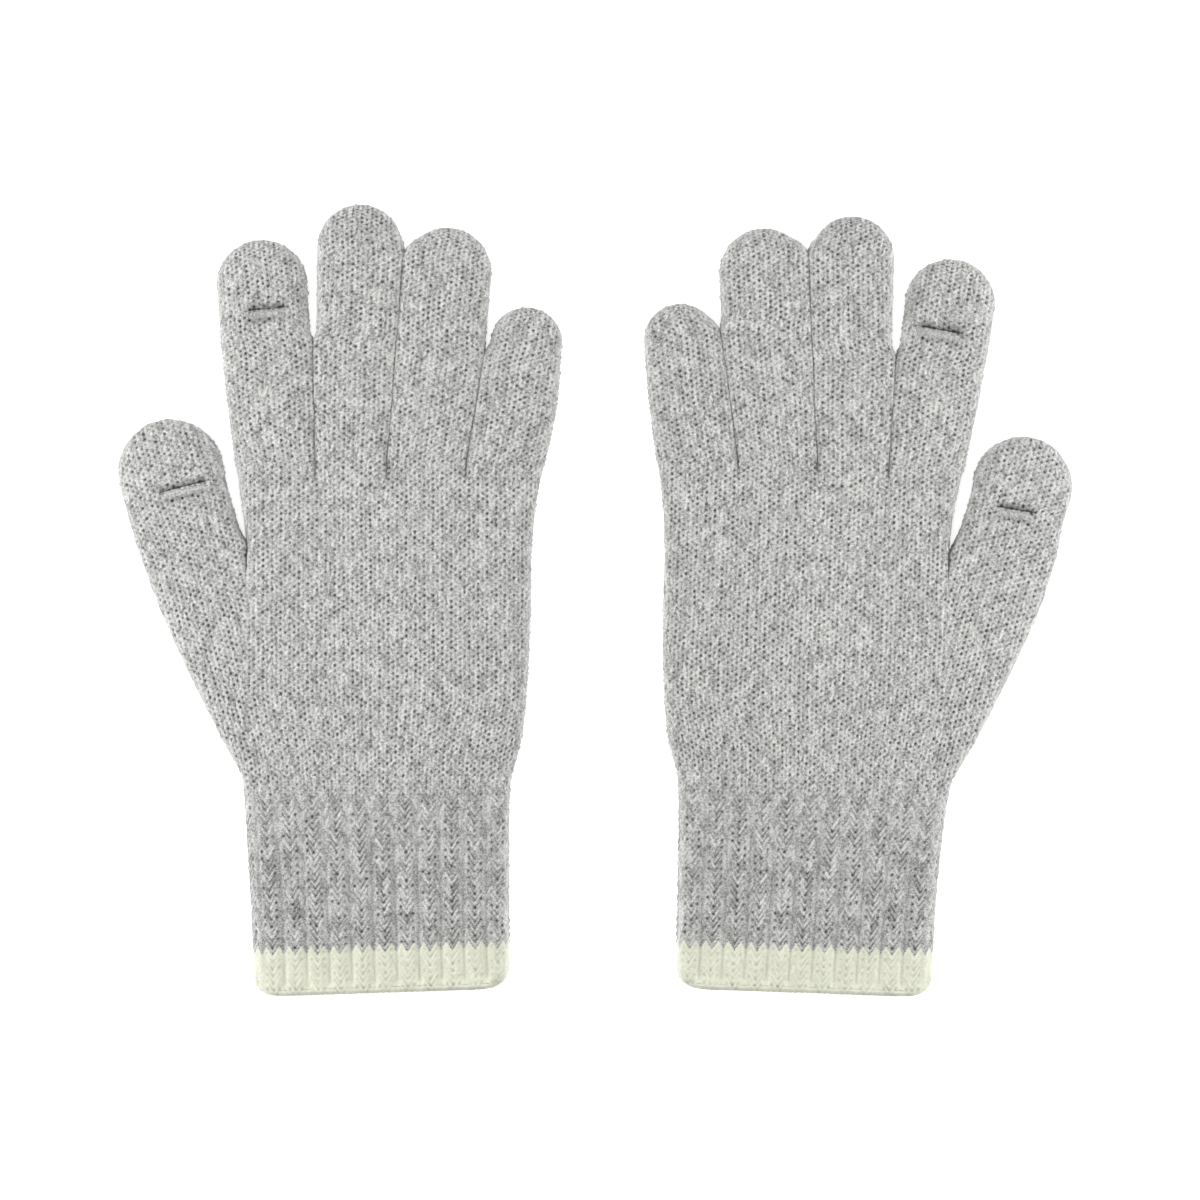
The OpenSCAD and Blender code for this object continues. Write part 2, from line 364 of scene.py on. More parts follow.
def spread(left, right, height, columns):
    """Fractions across each row that lie evenly along the cloth, and their distances along it."""
    fine = (1 - np.cos(np.pi * np.linspace(0, 1, 161))) / 2
    fine = np.broadcast_to(fine, (len(left), len(fine)))
    width = np.linalg.norm(right - left, axis=1)[:, None]
    z = height(fine)
    steps = np.hypot(np.diff(fine, axis=1) * width, np.diff(z, axis=1))
    arc = np.concatenate([np.zeros((len(left), 1)), np.cumsum(steps, axis=1)], axis=1)
    goal = arc[:, -1:] * np.linspace(0, 1, columns + 1)
    at = np.stack([np.interp(g, a, f) for g, a, f in zip(goal, arc, fine)])
    return at, goal


def normals(grid):
    """Unit normals of a grid of points, towards +Z where the rows run along +Y."""
    along, across = np.gradient(grid, axis=0), np.gradient(grid, axis=1)
    n = np.cross(across, along)
    return n / np.maximum(np.linalg.norm(n, axis=2, keepdims=True), 1e-9)


def raise_stitches(grid, out, relief, arc, v, amount=STITCH_RELIEF, fade=1.0):
    """Lifts the stitches off a surface. At its two side edges every course stands out sideways instead."""
    out = out.copy()
    for edge, sign in ((0, 1), (-1, -1)):
        sideways = grid[:, edge, :2] - grid[:, len(grid[0]) // 2, :2]
        out[:, edge, :2] = sideways / np.maximum(np.linalg.norm(sideways, axis=1, keepdims=True), 1e-9)
        out[:, edge, 2] = 0
    bulge = np.sin(np.pi * (v - np.floor(v))) - 0.55 + hash01(np.floor(v), 1, 77) - 0.5
    hold = smooth(np.minimum(arc, arc[:, -1:] - arc) / 0.8)
    return grid + out * (mix(bulge * EDGE_RELIEF, relief - 0.55, hold) * amount * fade)[..., None]


def turned_in(grid, out, rows, step):
    """Rows that turn an open edge under itself, so that the cloth shows its thickness there."""
    take = np.arange(0, rows * step, step)[::-1]
    inner = grid[take] - out[take] * HEM
    half = grid[0] - out[0] * HEM * 0.5
    return np.concatenate([inner, half[None]])


# ---------------------------------------------------------------- hand
def palm_pattern(x, y, arc_x):
    """Wale and course of the palm's knitting; arc_x is x with the cloth's rise at the edges laid flat."""
    wale = mix(WRIST_WALE, WALE, smooth(y / 25))
    u = (arc_x - WALE_ORIGIN) / wale + WALE_PHASE
    return u + 0.05 * noise(x / 11, y / 11, 5), course_at(y) + 0.12 * noise(x / 14, y / 14, 6)


def gusset_pattern(x, y, axis, side):
    """Wale and course of the thumb's knitting, whose columns run along the thumb."""
    dx, dy = x - CROTCH_X[side], y - THUMB_ROOT
    u = (dx * axis[1] - dy * axis[0]) / WALE + 0.35
    return u, (dx * axis[0] + dy * axis[1]) / COURSE + course_at(THUMB_ROOT)


def crease(distance, amount):
    """Fullness next to a line where the tube is pinched by so much."""
    return mix(1.0, closing(distance, CLEFT_REACH, CLEFT_FLOOR), amount)


def hand_height(x, y, edges, side, back, pinched=True):
    """z of the hand's cloth; the tube closes at its two edges and is pinched where the digits part."""
    left, right = edges
    above = y > THUMB_ROOT
    reach = np.where(above, mix(CLEFT_REACH, 7, smooth((y - THUMB_ROOT) / 14)), 7)
    floor = CLEFT_FLOOR * above * smooth(1 - (y - THUMB_ROOT) / 3)
    full = closing(x - left, reach, floor) * rounded(right - x, 7)
    if pinched:
        fade = smooth((y - THUMB_ROOT + 9) / 9) * (y <= THUMB_ROOT + 0.01)
        full = full * crease(np.abs(x - CROTCH_X[side]), fade)
        for cleft in FINGER_CLEFTS:
            full = full * crease(np.abs(x - cleft), smooth((y - FINGER_ROOT + 9) / 9) ** 1.5)
    if back:
        return SEAM_Z - (SEAM_Z - BASE_Z) * full
    return SEAM_Z + (TOP_Z - SEAM_Z + swell(x, y, 40)) * full


def hand_sheet(piece, side, back):
    thumb = Digit(side, "thumb")
    step_x, step_y = (BACK_STEP_X, BACK_STEP_Y) if back else (STEP_X, STEP_Y)
    lower = np.linspace(0, THUMB_ROOT, round(THUMB_ROOT / step_y) + 1)
    upper = np.linspace(THUMB_ROOT, FINGER_ROOT, round((FINGER_ROOT - THUMB_ROOT) / step_y) + 1)[1:]
    y = np.concatenate([lower, upper])
    crotch_row = len(lower) - 1
    yy = y[:, None]
    left, start, right = hand_left(y, side), palm_start(y, side), hand_right(y, side)
    left[crotch_row + 1:] = start[crotch_row + 1:]
    edges = left[:, None], right[:, None]

    def part(a, b, columns):
        at, arc = spread(np.stack([a, y], 1), np.stack([b, y], 1),
                         lambda w: hand_height(mix(a[:, None], b[:, None], w), yy, edges, side, back,
                                               pinched=False), columns)
        return mix(a[:, None], b[:, None], at), arc

    gusset_x, gusset_arc = part(left, start, round(32 / step_x))
    palm_x, palm_arc = part(start, right, round(90 / step_x))
    x = np.concatenate([gusset_x[:, :-1], palm_x], 1)
    arc = np.concatenate([gusset_arc[:, :-1], palm_arc + gusset_arc[:, -1:]], 1)
    z = hand_height(x, yy, edges, side, back)
    grid = np.stack([x, np.broadcast_to(yy, x.shape), z], -1)
    split = gusset_x.shape[1] - 1
    out = normals(grid)
    out[:crotch_row + 1, :split + 1] = normals(grid[:crotch_row + 1])[:, :split + 1]
    if back:
        out = -out
    middle = np.stack([np.interp(0.0, xs, arcs) for xs, arcs in zip(x, arc)])[:, None]
    u, v = palm_pattern(x, yy, arc - middle)
    open_work = knit_lightly_at(np.minimum(arc, arc[:, -1:] - arc))
    relief, tone, pinhole, _ = knit(u, v, 11 if back else 1, lean_at(yy), open_work)
    gu, gv = gusset_pattern(x, yy, thumb.axis, side)
    gusset = knit(gu, gv, 12 if back else 2, open_work=open_work)
    into = smooth((CROTCH_X[side] + 1.0 - x) / 1.6) * (yy <= THUMB_ROOT)
    relief, pinhole = mix(relief, gusset[0], into), mix(pinhole, gusset[2], into)
    tone = np.where(into > 0.5, gusset[1], tone)
    lifted = raise_stitches(grid, out, relief, arc, v)
    ribs = rib_relief(x, yy, arc - middle)
    if not back:
        lifted[..., 2] -= ribs * smooth(np.minimum(arc, arc[:, -1:] - arc) / 5)
    keep = np.ones((len(y) - 1, x.shape[1] - 1), bool)
    keep[crotch_row:, :split] = False
    # Painted shade goes with the pinholes and the low parts between stitches.
    piece.add(lifted, {"tone": tone, "groove": painted_shade_of(relief, pinhole)}, outward=not back, keep=keep)


def painted_shade_of(relief, pinhole):
    """How much a point is shut in between stitches, given as painted shade: the yarn's colour is darkened
    there to stand in for the shade that falls between stitches.
    """
    return np.clip(0.95 * pinhole + 0.35 * (0.75 - relief), 0, 1)


def rib_relief(x, y, arc_x):
    """Depth of the furrows between the cuff's ribs, which run out just above the wrist."""
    wale = mix(WRIST_WALE, WALE, smooth(y / 25))
    phase = ((arc_x - WALE_ORIGIN) / wale + WALE_PHASE) / 3
    part = phase - np.floor(phase)
    return rib_shape(part) * rib_strength(y)


def rib_strength(y):
    """The ribs grow slowly out of the palm, and are deepest near the mouth."""
    return 0.5 * smooth((9 - y) / 14) + 0.5 * smooth(-y / 30)


def furrow_shape(part):
    """1 in the furrow between two ribs and 0 on the ribs; part is the way across a rib, from 0 to 1."""
    return np.exp(-((((part - RIB_MIDDLE) % 1 - 0.5) / 0.16) ** 2))


def rib_shape(part):
    """Depth of a rib's surface below its highest line."""
    dome = (0.5 - 0.5 * np.cos(2 * np.pi * (part - RIB_MIDDLE))) ** 2
    return RIB_GROOVE * furrow_shape(part) + RIB_DOME * dome


# ---------------------------------------------------------------- digits
def touching_point(side, cleft):
    """The highest point where two neighbouring fingers touch, halfway between their sides."""
    top = TOUCH_Y[side][cleft]
    xs = []
    for name, sign in ((FINGERS[cleft], 1), (FINGERS[cleft + 1], -1)):
        r, (x, y) = DIGITS[side][name]["r"], DIGITS[side][name]["tip"]
        side_x = np.interp(top, (FINGER_ROOT, y), (FINGER_CLEFTS[cleft], x + sign * r))
        xs.append(x + sign * math.sqrt(r**2 - (top - y) ** 2) if top > y else side_x)
    return top, sum(xs) / 2


class Digit:
    """A finger or thumb: two straight sides from its root line to a round tip, measured along its axis."""

    def __init__(self, side, name):
        facts = DIGITS[side][name]
        self.side, self.name, self.r, self.bow = side, name, facts["r"], facts["bow"]
        self.root_y = THUMB_ROOT if name == "thumb" else FINGER_ROOT
        self.roots = [np.array([facts["a"], self.root_y]), np.array([facts["b"], self.root_y])]
        self.tip = np.array(facts["tip"])
        self.middle = (self.roots[0] + self.roots[1]) / 2
        self.length = np.linalg.norm(self.tip - self.middle)
        self.axis = (self.tip - self.middle) / self.length
        self.across = np.array([self.axis[1], -self.axis[0]])
        self.total = self.length + self.r * math.pi / 2
        self.touch = {}
        if name == "thumb":
            top = THUMB_TOUCH_Y[side]
            self.touch[1] = (top, float(hand_left(np.array(top + 0.01), side)))
        else:
            number = FINGERS.index(name)
            for k, cleft in ((0, number - 1), (1, number)):
                if 0 <= cleft < len(FINGER_CLEFTS):
                    self.touch[k] = touching_point(side, cleft)
        self.slit = None
        if "slit" in facts:
            slit = facts["slit"]
            slope = math.radians(slit["slope"])
            self.slit_half = slit["half"]
            self.slit_along = np.array([math.cos(slope), math.sin(slope)])
            self.slit_up = np.array([-self.slit_along[1], self.slit_along[0]])
            self.slit_centre = self.tip - [0, slit["drop"]] + self.slit_along * slit["shift"]
            self.slit = [self.crossing(k, self.slit_centre, self.slit_along) for k in (0, 1)]

    def crossing(self, k, point, direction):
        """How far up the digit its side k meets a line."""
        sign = -1 if k == 0 else 1
        end = self.tip + sign * self.r * self.across
        run = end - self.roots[k]
        t = np.linalg.solve(np.stack([run, -direction], 1), point - self.roots[k])[0]
        return t * self.length

    def edge(self, k, up):
        """Point of side k (0 towards the thumb, 1 towards the little finger) at a distance up the digit."""
        sign = -1 if k == 0 else 1
        end = self.tip + sign * self.r * self.across
        up = np.asarray(up)[:, None]
        along = np.clip(up / self.length, 0, 1)
        straight = mix(self.roots[k], end, along) + sign * self.across * self.bow[k] * np.sin(np.pi * along)
        turn = np.clip((up - self.length) / self.r, 0, math.pi / 2)
        cap = self.tip + self.axis * self.r * np.sin(turn) + sign * self.across * self.r * np.cos(turn)
        return self.pressed(k, np.where(up <= self.length, straight, cap))

    def closeness(self, k, y):
        """1 where side k lies against its neighbour, and 0 where it stands free."""
        if k not in self.touch:
            return np.zeros_like(y)
        top = self.touch[k][0]
        return smooth((top - y) / max(min(6, top - self.root_y), 0.1) + 0.8)

    def pressed(self, k, points):
        """Moves points of side k onto the line where the digit lies against its neighbour."""
        if k not in self.touch or self.touch[k][0] <= self.root_y:
            return points
        x, y = points.T
        top, x_top = self.touch[k]
        line_x = mix(self.roots[k][0], x_top, (y - self.root_y) / (top - self.root_y))
        line_x = line_x + (-CLEFT_OVERLAP if k == 0 else CLEFT_OVERLAP)
        return np.stack([mix(x, line_x, self.closeness(k, y)), y], 1)

    def fullness(self, w, up, width, y):
        """How full the tube is at a fraction w of the way across it."""
        turn = np.clip((up - self.length) / self.r, 0, math.pi / 2)
        full = np.sqrt(np.maximum(1 - np.sin(turn) ** 4, 0))
        for k, distance in ((0, w * width), (1, (1 - w) * width)):
            at_root = CLEFT_REACH if k in self.touch else 7
            reach = np.minimum(mix(at_root, 9.5, smooth(up / 15)), np.maximum(width / 2, 0.01))
            full = full * closing(distance, reach, CLEFT_FLOOR * self.closeness(k, y))
        return full


def digit_pattern(digit, xy, up, arc, centres):
    """Wale and course of a digit's knitting, which follows on from that of the palm or the thumb's gusset."""
    pitch = mix(WALE, FINGER_WALE, smooth(up / 15))
    from_middle = arc - arc[:, -1:] / 2
    if digit.name == "thumb":
        u0, v0 = gusset_pattern(*digit.middle, digit.axis, digit.side)
        shift = (centres - digit.middle) @ digit.across
        u = u0 + (from_middle * np.abs(digit.axis[1]) + shift[:, None]) / pitch
        v = v0 + ((xy - digit.middle) @ digit.axis) / FINGER_COURSE
    else:
        u = (digit.middle[0] - WALE_ORIGIN) / WALE + WALE_PHASE + from_middle / pitch
        v = course_at(digit.root_y) + up / FINGER_COURSE
    u = u + 0.06 * noise(xy[..., 0] / 9, xy[..., 1] / 9, 5)
    return u, v + 0.12 * noise(xy[..., 0] / 14, xy[..., 1] / 14, 6)


def digit_sheet(piece, digit, ups, back, seed, slit=None, open_start=False, open_end=False):
    """One side of a digit's tube; ups is (how far up side 0, how far up side 1) of every row."""
    ends = [digit.edge(k, ups[k]) for k in (0, 1)]
    width = np.linalg.norm(ends[1] - ends[0], axis=1)[:, None]
    low, high = ups[0][:, None], ups[1][:, None]

    def height(w):
        up = mix(low, high, w)
        xy = ends[0][:, None] + (ends[1] - ends[0])[:, None] * w[..., None]
        full = digit.fullness(w, up, width, xy[..., 1])
        if back:
            return SEAM_Z - (SEAM_Z - BASE_Z) * full
        z = SEAM_Z + (TOP_Z - SEAM_Z + swell(xy[..., 0], xy[..., 1], 40)) * full
        if slit:
            beyond, inside = slit_place(digit, xy)
            z = z - slit_sink(beyond, slit) * inside
        return z

    columns = round((np.max(width) + 5) / (BACK_STEP_X if back else STEP_X))
    at, arc = spread(ends[0], ends[1], height, columns)
    xy = ends[0][:, None] + (ends[1] - ends[0])[:, None] * at[..., None]
    grid = np.concatenate([xy, height(at)[..., None]], -1)
    up = mix(low, high, at)
    out = normals(grid) * (-1 if back else 1)
    u, v = digit_pattern(digit, xy, up, arc, (ends[0] + ends[1]) / 2)
    from_side = np.minimum(arc, arc[:, -1:] - arc)
    open_work = mix(1, knit_lightly_at(from_side), smooth(up / 8))
    relief, tone, pinhole, _ = knit(u, v, seed, open_work=open_work)
    # Painted shade in the pinholes, and painted shadow at the slit.
    groove = painted_shade_of(relief, pinhole)
    if slit and not back:
        groove = np.clip(groove + slit_shade(digit, xy, slit, seed), 0, 1.3)
    lifted = raise_stitches(grid, out, relief, arc, v, fade=smooth((digit.total - up) / 1.5))
    if open_start:
        lifted = np.concatenate([turned_in(grid, out, TURN_ROWS, TURN_STEP), lifted])
        tone, groove = [np.concatenate([a[:1]] * (TURN_ROWS + 1) + [a]) for a in (tone, groove)]
    if open_end:
        flipped = turned_in(grid[::-1], out[::-1], TURN_ROWS, TURN_STEP)[::-1]
        lifted = np.concatenate([lifted, flipped])
        tone, groove = [np.concatenate([a] + [a[-1:]] * (TURN_ROWS + 1)) for a in (tone, groove)]
    piece.add(lifted, {"tone": tone, "groove": groove}, outward=not back)


def slit_place(digit, xy, past=0.0, ease=2.2):
    """How far above the slit's line a point lies, and how much it is within the slit's width."""
    offset = xy - digit.slit_centre
    inside = (digit.slit_half + past + ease / 2 - np.abs(offset @ digit.slit_along)) / ease
    return offset @ digit.slit_up, smooth(inside)


def slit_sink(beyond, part):
    """How deep the cloth dips at the slit: under the hood's edge, or round the lip below it."""
    if part == "above":
        return 1.7 * (1 - smooth(beyond / 2.2))
    return 1.5 * (1 - smooth(-beyond / 1.8)) + 0.6 * np.exp(-(((beyond + 3.0) / 1.1) ** 2))


def slit_shade(digit, xy, part, seed):
    """Shadow in the slit's mouth, uneven along it, and a fainter one in the crease below the lip."""
    uneven = 0.5 * noise(xy[..., 0] / 2.6, xy[..., 1] / 9, seed + 30)
    if part == "above":
        beyond, inside = slit_place(digit, xy)
        return 1.3 * inside * np.exp(-np.abs(beyond) / 0.7) * (1 + uneven)
    beyond, inside = slit_place(digit, xy, LIP_PAST - 1, 5)
    return 0.34 * inside * np.exp(-(((beyond + 3.0 + uneven) / 0.8) ** 2))


def rows_between(first, last, step):
    """Rows of a digit from one level to another, each level given at both sides of it."""
    count = max(2, round(max(abs(last[0] - first[0]), abs(last[1] - first[1])) / step))
    t = np.linspace(0, 1, count + 1)
    return mix(first[0], last[0], t), mix(first[1], last[1], t)


def digit_pieces(side, name, seed):
    """The pieces of one digit, each with the CAD node it replaces."""
    digit = Digit(side, name)
    tip = (digit.total, digit.total)
    title = f"{side}_{name}" if name == "thumb" else f"{side}_{name}_finger"
    if digit.slit is None:
        piece = Piece(title + "_knit")
        for back in (False, True):
            digit_sheet(piece, digit, rows_between((0, 0), tip, STEP_Y), back, seed + back)
        return [(piece, title, digit)]
    names = title, f"{side}_{name}_hood", f"{side}_{name}_lip"
    lower, hood, lip = [Piece(f"{start}_knit") for start in names]
    for back in (False, True):
        digit_sheet(lower, digit, rows_between((0, 0), digit.slit, STEP_Y), back, seed + back,
                    slit="below", open_end=True)
        digit_sheet(hood, digit, rows_between(digit.slit, tip, STEP_Y), back, seed + back,
                    slit="above", open_start=True)
    slit_lip(lip, digit, seed)
    nodes = title, f"{side}_{name}_hood", f"{side}_{name}_slit_lip"
    return [(piece, node, digit) for piece, node in zip((lower, hood, lip), nodes)]


def slit_lip(piece, digit, seed):
    """The rolled edge of the slit: a soft roll that sinks into the cloth at its two ends."""
    t = np.linspace(-1, 1, 120)
    turn = np.linspace(0, 2 * math.pi, 33)
    taper = np.sqrt(np.maximum(1 - np.abs(t) ** 3, 0))[:, None]
    wobble = 0.25 * noise(t * 2.5, 0 * t, seed + 20) + 0.1 * noise(t * 7, 0 * t, seed + 21)
    run = t * (digit.slit_half + LIP_PAST)
    below = LIP_R + 0.4 + wobble
    centre = digit.slit_centre + np.outer(run, digit.slit_along) - np.outer(below, digit.slit_up)
    stitch = run / 1.45
    size = taper * (LIP_R * (1 + 0.12 * noise(t * 4, 0 * t, seed + 22)[:, None])
                    + 0.07 * np.cos(2 * math.pi * stitch)[:, None] * (0.6 + 0.4 * np.sin(turn)))
    xy = centre[:, None] + digit.slit_up * (size * np.cos(turn))[..., None]
    z = TOP_Z - 0.75 - 1.3 * t[:, None] ** 4 + 0.95 * size * np.sin(turn)
    tone = 0.35 + 0.4 * hash01(np.floor(stitch)[:, None], np.floor(turn / 0.7), seed)
    grid = np.concatenate([xy, z[..., None]], -1)
    # The lip gets a light, even painted shade.
    piece.add(grid[:, ::-1], {"tone": tone[:, ::-1], "groove": 0.12}, outward=False)


# ---------------------------------------------------------------- cuff
def cuff_pattern(y, arc_x, side):
    """Wale as knitted in the palm, wale as knitted in the ribs, and the way across a rib from 0 to 1."""
    left, right = cuff_edges(np.maximum(y, -CUFF_LEN + CORNER_R), side)
    origin = mix(WALE_ORIGIN, MOUTH_ORIGIN, -y / CUFF_LEN)
    phase = (arc_x - origin) / ((right - left) / RIBS_ACROSS) + WALE_PHASE / 3
    rib = np.floor(phase)
    part = phase - rib
    start, end = RIB_MIDDLE - RIB_HALF, RIB_MIDDLE + RIB_HALF
    ribbed = 2 * rib + np.interp(part, [end - 1, start, end, start + 1], [-1, 0, 1, 2])
    return 3 * phase, ribbed, part


def cuff_knit(y, arc_x, side, waver, seed, open_work):
    """The cuff's knitting: plain at the wrist, then one broad wale to a rib, with a smooth furrow between."""
    plain, ribbed, part = cuff_pattern(y, arc_x, side)
    v = course_at(y) + waver[1]
    a = knit(plain + waver[0], v, seed, lean_at(y), open_work)
    middle = np.exp(-(((part - RIB_MIDDLE) / 0.3) ** 2))
    b = knit(ribbed + waver[0] / 2, v, seed, lean_at(y), open_work * (0.4 + 0.65 * middle), 0.8 * middle)
    turn = smooth((-1 - y) / 9)
    relief = mix(a[0], mix(b[0], 0.7, 0.9 * furrow_shape(part)), turn)
    pinhole = mix(a[2], b[2] * (1 - 0.6 * furrow_shape(part)), turn)
    tone, course = np.where(turn < 0.5, a[1], b[1]), np.where(turn < 0.5, a[3], b[3])
    return relief, tone, pinhole, course, v, part


def cuff_sheet(piece, side, y, back, cream_below, seed, rim=False):
    left, right = cuff_edges(y, side)
    yy = y[:, None]
    into_mouth = np.clip((EDGE_Y + 0.2 - yy) / (EDGE_LEN + 0.2), 0, 1) if rim else np.zeros_like(yy)
    swollen = 0.35 * np.sin(np.pi * np.clip(into_mouth, 0, 1) ** 0.8)

    def height(w):
        x = mix(left[:, None], right[:, None], w)
        full = rounded(x - left[:, None], 5.0) * rounded(right[:, None] - x, 5.0)
        drop = 1 - 0.2 * smooth((-yy - 40) / 22)
        if back:
            return SEAM_Z - (SEAM_Z - BASE_Z) * full * mix(1, 0.72, into_mouth**3)
        rise = (TOP_Z - SEAM_Z) * drop + swollen + swell(x, yy, 40)
        return SEAM_Z + rise * full * mix(1, 0.72, into_mouth**3)

    step = BACK_STEP_X if back else STEP_X
    at, arc = spread(np.stack([left, y], 1), np.stack([right, y], 1), height, round(82 / step))
    x = mix(left[:, None], right[:, None], at)
    grid = np.stack([x, yy + HEM_RISE[side] * x * smooth(-yy / CUFF_LEN), height(at)], -1)
    out = normals(grid) * (-1 if back else 1)
    middle = np.stack([np.interp(0.0, xs, arcs) for xs, arcs in zip(x, arc)])[:, None]
    from_edge = np.minimum(arc, arc[:, -1:] - arc)
    waver = 0.05 * noise(x / 9, yy / 9, 5), 0.1 * noise(x / 14, yy / 14, 6)
    relief, tone, pinhole, course, v, part = cuff_knit(yy, arc - middle, side, waver, seed,
                                                       knit_lightly_at(from_edge))
    above_rim = smooth((yy + CUFF_LEN - 0.6) / 3.4)
    ribs = rib_shape(part) * smooth((from_edge - 4.0) / 2.5) * rib_strength(yy) * above_rim
    lifted = raise_stitches(grid - out * ribs[..., None], out, relief, arc, v, fade=1 - 0.5 * into_mouth)
    furrow = np.clip(ribs / (RIB_GROOVE + RIB_DOME), 0, 1)
    # Painted shade: darker in the pinholes, in the furrows between the ribs, and in a band along the mouth's
    # rim where the cloth curves under.
    groove = np.clip(painted_shade_of(relief, pinhole) + 0.14 * furrow + 0.2 * (1 - above_rim), 0, 1)
    cream = (course < cream_below).astype(float)
    if rim:
        inner = turned_in(grid, out, 12, 1)
        rows = len(inner)
        lifted = np.concatenate([inner, lifted])
        tone, groove, cream = [np.concatenate([a[:1]] * rows + [a]) for a in (tone, groove, cream)]
    piece.add(lifted, {"tone": tone, "groove": groove, "cream": cream}, outward=not back)


def cuff_lining(piece, side, low, high):
    """The inside of the cuff, seen through its mouth."""
    y = np.linspace(low, high, 40)
    left, right = cuff_edges(y, side)
    w = (1 - np.cos(np.pi * np.linspace(0, 1, 120))) / 2
    x = mix(left[:, None] + 2, right[:, None] - 2, w)
    full = rounded(x - left[:, None] - 2, 4) * rounded(right[:, None] - 2 - x, 4)
    relief, tone, pinhole, _ = knit(x / WRIST_WALE, course_at(y)[:, None], 90)
    for back in (False, True):
        z = SEAM_Z + full * (BASE_Z + 1.0 - SEAM_Z if back else TOP_Z - 2.0 - SEAM_Z)
        grid = np.stack([x, np.broadcast_to(y[:, None], x.shape), z], -1)
        cream = (y[:, None] < TIPPING_Y).astype(float)
        piece.add(grid, {"tone": tone, "groove": painted_shade_of(relief, pinhole), "cream": cream}, outward=back)


def elastic_loops(piece, side):
    """Covered elastic threads laid round the inside of the cuff."""
    turn = np.linspace(0, 2 * math.pi, 11)
    around = np.linspace(0, 2 * math.pi, 181)
    twist = 1 + 0.12 * np.cos(around[:, None] * 60 + turn[None, :])
    radial = np.stack([np.cos(around), 0 * around, np.sin(around)], -1)
    ring = THREAD_R * twist[..., None] * (np.cos(turn)[None, :, None] * radial[:, None]
                                          + np.sin(turn)[None, :, None] * np.array([0, 1, 0]))
    for i in range(THREADS):
        y = -(i + 0.5) * (CUFF_LEN - TIPPING_LEN) / THREADS
        left, right = [float(edge) + inset for edge, inset in zip(cuff_edges(np.array(y), side), (2.6, -2.6))]
        run = (right - left) / 2 - THREAD_LOOP_R
        x = (left + right) / 2 + run * np.clip(1.6 * np.cos(around), -1, 1) + THREAD_LOOP_R * np.cos(around)
        centre = np.stack([x, 0 * x + y, THREAD_LOOP_Z + THREAD_LOOP_R * np.sin(around)], -1)
        # The elastic gets a light, even painted shade.
        piece.add(centre[:, None] + ring, {"tone": 0.6, "groove": 0.1, "cream": 1.0}, outward=True)


# ---------------------------------------------------------------- materials
# Each yarn's darkest and lightest colour, and its painted shade colour where it is shut in between stitches.
GREY = ((0.08, 0.08, 0.078), (0.665, 0.667, 0.65))
CREAM = ((0.45, 0.46, 0.37), (0.66, 0.67, 0.57))
ELASTIC = ((0.6, 0.6, 0.57), (0.85, 0.85, 0.82))
GREY_PAINTED_SHADE, CREAM_PAINTED_SHADE = (0.04, 0.04, 0.038), (0.42, 0.43, 0.34)


def yarn(name, dark, light, cream=CREAM):
    """Fuzzy heather yarn: each stitch's leg has its own tone, and fine fibres break it up."""
    material = bpy.data.materials.new(name)
    material.use_nodes = True
    tree = material.node_tree
    nodes, links = tree.nodes, tree.links
    nodes.clear()

    def new(kind, inputs):
        node = nodes.new(kind)
        for key, value in inputs.items():
            node.inputs[key].default_value = value
        return node

    def attribute(key):
        node = nodes.new("ShaderNodeAttribute")
        node.attribute_name = key
        return node.outputs["Fac"]

    def math_node(operation, a, b):
        node = nodes.new("ShaderNodeMath")
        node.operation = operation
        for index, value in enumerate((a, b)):
            if isinstance(value, (int, float)):
                node.inputs[index].default_value = value
            else:
                links.new(value, node.inputs[index])
        return node.outputs[0]

    def blend_colour(factor, a, b):
        node = nodes.new("ShaderNodeMix")
        node.data_type = "RGBA"
        for index, value in ((0, factor), (6, a), (7, b)):
            if hasattr(value, "is_linked"):
                links.new(value, node.inputs[index])
            elif isinstance(value, (int, float)):
                node.inputs[index].default_value = value
            else:
                node.inputs[index].default_value = (*value, 1)
        return node.outputs[2]

    def speckle(scale, detail):
        texture = new("ShaderNodeTexNoise", {"Scale": scale, "Detail": detail, "Roughness": 0.65})
        links.new(place.outputs["Object"], texture.inputs["Vector"])
        ramp = new("ShaderNodeMapRange", {"From Min": 0.36, "From Max": 0.64})
        links.new(texture.outputs["Fac"], ramp.inputs["Value"])
        return ramp.outputs["Result"]

    place = nodes.new("ShaderNodeTexCoord")
    fibres = speckle(2600, 2)
    melange = speckle(1500, 1)
    speckles = math_node("ADD", math_node("MULTIPLY", melange, 0.3), math_node("MULTIPLY", fibres, 0.36))
    tone = math_node("ADD", math_node("MULTIPLY", attribute("tone"), 0.34), speckles)
    grey = blend_colour(tone, dark, light)
    pale = blend_colour(tone, *cream)
    colour = blend_colour(attribute("cream"), grey, pale)
    # Painted shade: the colour is darkened towards near-black where the attribute marks points shut in
    # between stitches, in rib furrows, at the slit and along the mouth's rim.
    painted_shade_colour = blend_colour(attribute("cream"), GREY_PAINTED_SHADE, CREAM_PAINTED_SHADE)
    colour = blend_colour(attribute("groove"), colour, painted_shade_colour)
    height = math_node("ADD", math_node("MULTIPLY", fibres, 0.6), math_node("MULTIPLY", melange, 0.4))
    bump = new("ShaderNodeBump", {"Strength": 0.55, "Distance": 0.00012})
    links.new(height, bump.inputs["Height"])
    shader = new("ShaderNodeBsdfPrincipled", {"Roughness": 0.92, "Sheen Weight": 0.25, "Sheen Roughness": 0.5,
                                              "Specular IOR Level": 0.15})
    links.new(colour, shader.inputs["Base Color"])
    links.new(bump.outputs["Normal"], shader.inputs["Normal"])
    output = nodes.new("ShaderNodeOutputMaterial")
    links.new(shader.outputs["BSDF"], output.inputs["Surface"])
    return material


